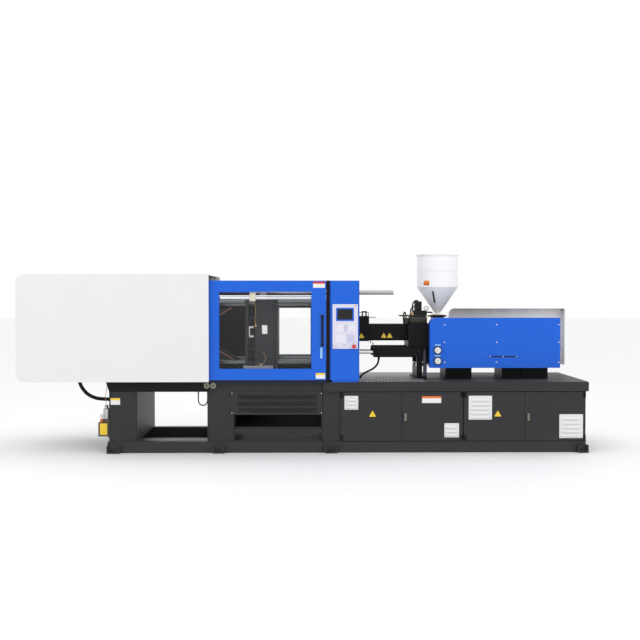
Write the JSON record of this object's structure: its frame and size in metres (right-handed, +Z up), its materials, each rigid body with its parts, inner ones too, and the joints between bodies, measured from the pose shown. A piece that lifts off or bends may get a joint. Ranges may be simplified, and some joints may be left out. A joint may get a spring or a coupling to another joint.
{
  "type": "injection moulding machine",
  "caption": "Horizontal toggle-clamp injection moulding machine with sliding guards, plasticising unit, hopper and welded bed.",
  "frame": {"origin": "on the floor, in the middle of the machine's length and width", "axes": "+X from the clamp end to the injection end, +Z up, -Y towards the operator"},
  "size_m": [5.79, 1.44, 2.069],
  "materials": {
    "clamp_bed": "satin",
    "injection_bed": "satin",
    "air_grille": "satin",
    "fixed_platen": "satin",
    "tie_bars": "satin",
    "front_clamp_cover": "satin",
    "rear_clamp_cover": "satin",
    "cover_frame": "satin",
    "guide_bars": "satin",
    "gate_posts": "satin",
    "control_cabinet": "satin",
    "control_panel": "satin",
    "lubricator": "satin",
    "guide_pedestals": "satin",
    "pump_unit": "satin",
    "hose_main": "satin",
    "hose_loop": "satin",
    "tail_platen": "satin",
    "adjusting_nuts": "satin",
    "clamp_cylinder": "satin",
    "rear_link_upper": "satin",
    "rear_link_lower": "satin",
    "front_link_upper": "satin",
    "front_link_lower": "satin",
    "crosshead": "satin",
    "crosshead_link_upper": "satin",
    "crosshead_link_lower": "satin",
    "moving_platen": "satin",
    "platen_shoes": "satin",
    "safety_rod": "satin",
    "ejector": "satin",
    "front_gate": "satin",
    "front_gate_window": "satin",
    "gate_handle": "satin",
    "rear_gate": "satin",
    "rear_gate_window": "satin",
    "gate_roller_1": "satin",
    "gate_roller_2": "satin",
    "estop_button": "satin",
    "key_switch": "satin",
    "door_1": "satin",
    "door_2": "satin",
    "door_3": "satin",
    "door_4": "satin",
    "door_lock_1": "satin",
    "door_lock_2": "satin",
    "purge_guard": "satin",
    "barrel": "satin",
    "barrel_cover": "satin",
    "feed_housing": "satin",
    "carriage_cylinders": "satin",
    "hopper": "satin",
    "injection_cover": "satin",
    "rear_injection_cover": "satin",
    "hose_bundle": "satin",
    "hose_seat": "satin",
    "ram_plate": "satin",
    "screw": "satin",
    "hopper_lid": "satin",
    "hopper_gate": "satin"
  },
  "bodies": {
    "root": {"clamp_bed": "clamp_bed", "injection_bed": "injection_bed", "air_grille": "air_grille", "fixed_platen": "fixed_platen", "tie_bars": "tie_bars", "front_clamp_cover": "front_clamp_cover", "rear_clamp_cover": "rear_clamp_cover", "cover_frame": "cover_frame", "guide_bars": "guide_bars", "gate_posts": "gate_posts", "control_cabinet": "control_cabinet", "control_panel": "control_panel", "lubricator": "lubricator", "guide_pedestals": "guide_pedestals", "pump_unit": "pump_unit", "hose_main": "hose_main", "hose_loop": "hose_loop"},
    "tail": {"tail_platen": "tail_platen", "adjusting_nuts": "adjusting_nuts", "clamp_cylinder": "clamp_cylinder"},
    "rear_link_upper": {"rear_link_upper": "rear_link_upper"},
    "rear_link_lower": {"rear_link_lower": "rear_link_lower"},
    "front_link_upper": {"front_link_upper": "front_link_upper"},
    "front_link_lower": {"front_link_lower": "front_link_lower"},
    "crosshead": {"crosshead": "crosshead"},
    "crosshead_link_upper": {"crosshead_link_upper": "crosshead_link_upper"},
    "crosshead_link_lower": {"crosshead_link_lower": "crosshead_link_lower"},
    "moving_platen": {"moving_platen": "moving_platen", "platen_shoes": "platen_shoes", "safety_rod": "safety_rod"},
    "ejector": {"ejector": "ejector"},
    "front_gate": {"front_gate": "front_gate", "front_gate_window": "front_gate_window", "gate_handle": "gate_handle"},
    "rear_gate": {"rear_gate": "rear_gate", "rear_gate_window": "rear_gate_window"},
    "gate_roller_1": {"gate_roller_1": "gate_roller_1"},
    "gate_roller_2": {"gate_roller_2": "gate_roller_2"},
    "estop_button": {"estop_button": "estop_button"},
    "key_switch": {"key_switch": "key_switch"},
    "door_1": {"door_1": "door_1"},
    "door_2": {"door_2": "door_2"},
    "door_3": {"door_3": "door_3"},
    "door_4": {"door_4": "door_4"},
    "door_lock_1": {"door_lock_1": "door_lock_1"},
    "door_lock_2": {"door_lock_2": "door_lock_2"},
    "purge_guard": {"purge_guard": "purge_guard"},
    "carriage": {"barrel": "barrel", "barrel_cover": "barrel_cover", "feed_housing": "feed_housing", "carriage_cylinders": "carriage_cylinders", "hopper": "hopper", "injection_cover": "injection_cover", "rear_injection_cover": "rear_injection_cover", "hose_bundle": "hose_bundle", "hose_seat": "hose_seat"},
    "ram": {"ram_plate": "ram_plate"},
    "screw": {"screw": "screw"},
    "hopper_lid": {"hopper_lid": "hopper_lid"},
    "hopper_gate": {"hopper_gate": "hopper_gate"}
  },
  "joints": [
    {"name": "mould_height_adjust", "type": "slide", "parent": "root", "child": "tail", "axis": [1, 0, 0], "range_m": [-0.14, 0.19]},
    {"name": "toggle_fold", "type": "hinge", "parent": "tail", "child": "rear_link_upper", "pos_m": [-1.2043, 0, 1.54], "axis": [0, 1, 0], "range_deg": [-31, 41]},
    {"name": "front_link_upper_pivot", "type": "hinge", "parent": "rear_link_upper", "child": "front_link_upper", "pos_m": [-0.94715, 0, 1.38549], "axis": [0, 1, 0], "range_deg": [-82, 62]},
    {"name": "platen_pivot", "type": "hinge", "parent": "front_link_upper", "child": "moving_platen", "pos_m": [-0.69, 0, 1.54], "axis": [0, 1, 0], "range_deg": [-31, 41]},
    {"name": "rear_link_lower_pivot", "type": "hinge", "parent": "tail", "child": "rear_link_lower", "pos_m": [-1.2043, 0, 0.86], "axis": [0, 1, 0], "range_deg": [-41, 31]},
    {"name": "front_link_lower_pivot", "type": "hinge", "parent": "rear_link_lower", "child": "front_link_lower", "pos_m": [-0.94715, 0, 1.01451], "axis": [0, 1, 0], "range_deg": [-62, 82]},
    {"name": "crosshead_link_upper_pivot", "type": "hinge", "parent": "rear_link_upper", "child": "crosshead_link_upper", "pos_m": [-1.17927, 0, 1.38197], "axis": [0, 1, 0], "range_deg": [-82, 62]},
    {"name": "crosshead_pivot", "type": "hinge", "parent": "crosshead_link_upper", "child": "crosshead", "pos_m": [-1.15424, 0, 1.54], "axis": [0, 1, 0], "range_deg": [-31, 41]},
    {"name": "crosshead_link_lower_pivot", "type": "hinge", "parent": "rear_link_lower", "child": "crosshead_link_lower", "pos_m": [-1.17927, 0, 1.01803], "axis": [0, 1, 0], "range_deg": [-62, 82]},
    {"name": "ejector_stroke", "type": "slide", "parent": "moving_platen", "child": "ejector", "axis": [1, 0, 0], "range_m": [0, 0.1]},
    {"name": "front_gate_slide", "type": "slide", "parent": "root", "child": "front_gate", "axis": [-1, 0, 0], "range_m": [0, 0.95]},
    {"name": "rear_gate_slide", "type": "slide", "parent": "root", "child": "rear_gate", "axis": [-1, 0, 0], "range_m": [0, 0.95]},
    {"name": "gate_roller_1_turn", "type": "hinge", "parent": "root", "child": "gate_roller_1", "pos_m": [-0.988, -0.69, 0.6857], "axis": [0, 1, 0], "range_deg": [-1820, 0]},
    {"name": "gate_roller_2_turn", "type": "hinge", "parent": "root", "child": "gate_roller_2", "pos_m": [-0.922, -0.69, 0.6857], "axis": [0, 1, 0], "range_deg": [-1820, 0]},
    {"name": "estop_push", "type": "slide", "parent": "root", "child": "estop_button", "axis": [0, 1, 0], "range_m": [0, 0.008], "stiffness_N_per_m": 400},
    {"name": "key_turn", "type": "hinge", "parent": "root", "child": "key_switch", "pos_m": [0.307, -0.72, 1.084], "axis": [0, 1, 0], "range_deg": [0, 90]},
    {"name": "door_1_hinge", "type": "hinge", "parent": "root", "child": "door_1", "pos_m": [0.37, -0.64, 0.37], "axis": [0, 0, -1], "range_deg": [0, 110]},
    {"name": "door_2_hinge", "type": "hinge", "parent": "root", "child": "door_2", "pos_m": [1.6085, -0.64, 0.37], "axis": [0, 0, 1], "range_deg": [0, 85]},
    {"name": "door_3_hinge", "type": "hinge", "parent": "root", "child": "door_3", "pos_m": [1.6245, -0.64, 0.37], "axis": [0, 0, -1], "range_deg": [0, 85]},
    {"name": "door_4_hinge", "type": "hinge", "parent": "root", "child": "door_4", "pos_m": [2.863, -0.64, 0.37], "axis": [0, 0, 1], "range_deg": [0, 110]},
    {"name": "door_lock_1_turn", "type": "hinge", "parent": "door_2", "child": "door_lock_1", "pos_m": [1.02625, -0.645, 0.362], "axis": [0, 1, 0], "range_deg": [0, 90]},
    {"name": "door_lock_2_turn", "type": "hinge", "parent": "door_4", "child": "door_lock_2", "pos_m": [2.28075, -0.645, 0.362], "axis": [0, 1, 0], "range_deg": [0, 90]},
    {"name": "purge_guard_slide", "type": "slide", "parent": "root", "child": "purge_guard", "axis": [1, 0, 0], "range_m": [0, 0.15]},
    {"name": "carriage_slide", "type": "slide", "parent": "root", "child": "carriage", "axis": [1, 0, 0], "range_m": [0, 0.25]},
    {"name": "ram_slide", "type": "slide", "parent": "carriage", "child": "ram", "axis": [1, 0, 0], "range_m": [0, 0.23]},
    {"name": "screw_turn", "type": "hinge", "parent": "ram", "child": "screw", "pos_m": [1.5, 0, 1.2], "axis": [1, 0, 0], "continuous": true},
    {"name": "hopper_lid_lift", "type": "slide", "parent": "carriage", "child": "hopper_lid", "axis": [0, 0, 1], "range_m": [0, 0.25]},
    {"name": "hopper_gate_slide", "type": "slide", "parent": "carriage", "child": "hopper_gate", "axis": [1, 0, 0], "range_m": [0, 0.06]}
  ],
  "couplings": [
    {"joint": "front_link_upper_pivot", "follows": "toggle_fold", "ratio": -2},
    {"joint": "platen_pivot", "follows": "toggle_fold", "ratio": 1},
    {"joint": "rear_link_lower_pivot", "follows": "toggle_fold", "ratio": -1},
    {"joint": "front_link_lower_pivot", "follows": "toggle_fold", "ratio": 2},
    {"joint": "crosshead_link_upper_pivot", "follows": "toggle_fold", "ratio": -2},
    {"joint": "crosshead_pivot", "follows": "toggle_fold", "ratio": 1},
    {"joint": "crosshead_link_lower_pivot", "follows": "toggle_fold", "ratio": 2},
    {"joint": "gate_roller_1_turn", "follows": "front_gate_slide", "rad_per_m": -33.333},
    {"joint": "gate_roller_2_turn", "follows": "front_gate_slide", "rad_per_m": -33.333}
  ]
}
